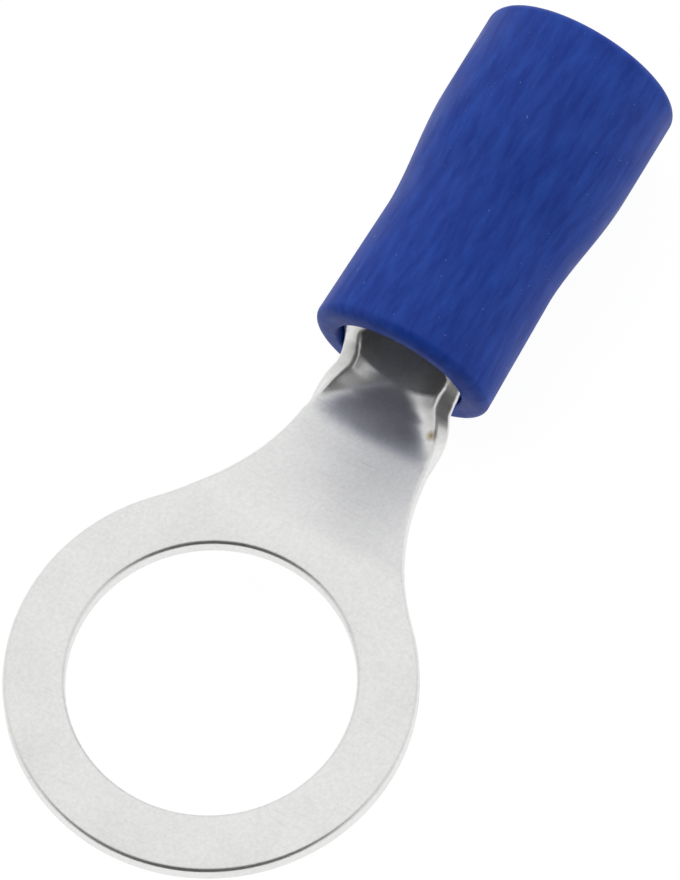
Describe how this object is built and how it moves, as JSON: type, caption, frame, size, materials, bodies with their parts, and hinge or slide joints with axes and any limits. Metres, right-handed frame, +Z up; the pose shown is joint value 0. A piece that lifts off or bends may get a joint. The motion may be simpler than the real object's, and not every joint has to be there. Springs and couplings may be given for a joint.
{
  "type": "ring terminal",
  "caption": "Insulated crimp ring terminal: flat ring with a stud hole, stepped tongue that curls into a rolled wire barrel, and a blue insulating sleeve with a waist and a wide wire entry.",
  "frame": {"origin": "centre of the stud hole, halfway through the thickness of the ring", "axes": "+Z up out of the stud hole, square to the ring; +X from the stud hole along the barrel to the wire entry; Y across the tongue"},
  "size_m": [0.028, 0.012, 0.0062],
  "materials": {
    "tinned_copper": "bright satin tin plate with tumbled edges",
    "blue_vinyl": "semi-matte moulded vinyl"
  },
  "bodies": {
    "root": {"terminal": "tinned_copper", "insulating_sleeve": "blue_vinyl"}
  },
  "joints": []
}
